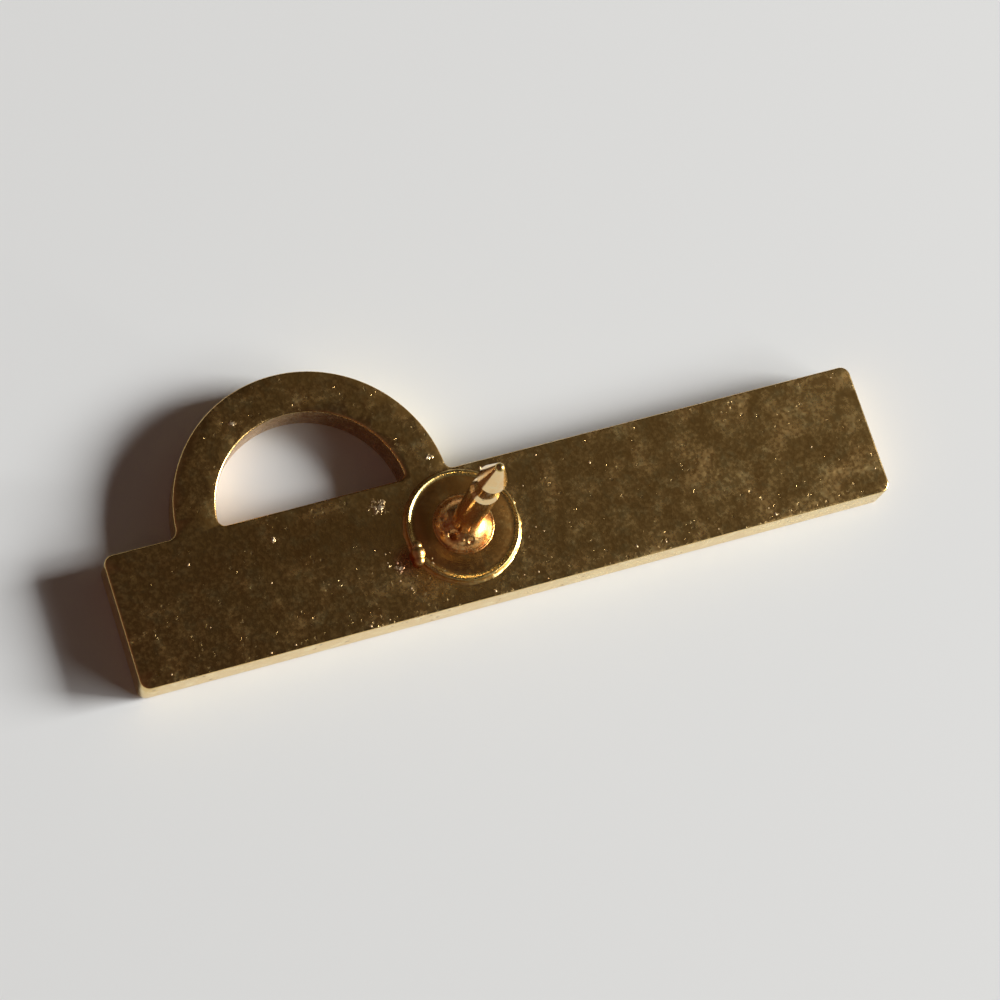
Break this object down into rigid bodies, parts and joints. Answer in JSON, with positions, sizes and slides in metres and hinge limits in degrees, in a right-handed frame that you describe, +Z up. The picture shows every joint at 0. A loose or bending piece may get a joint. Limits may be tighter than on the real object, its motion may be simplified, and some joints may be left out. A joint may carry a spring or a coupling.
{
  "type": "lapel pin",
  "caption": "Lapel pin of a gold-coloured metal: a long bar with a half ring on one edge, and a grooved nail on a round pad on its back, lying face down.",
  "frame": {"origin": "centre of the bottom of the box that holds the pin as it lies on its front face", "axes": "+X along the bar, away from the end that the half ring is nearer to; +Y from the bar towards the half ring; +Z up out of the back, along the nail"},
  "size_m": [0.032, 0.011, 0.0096],
  "materials": {
    "plated_plate": "polished gold plating, finely pitted and hazed on the back",
    "plated_nail": "polished gold plating"
  },
  "bodies": {
    "root": {"badge_plate": "plated_plate", "nail_post": "plated_nail"}
  },
  "joints": []
}
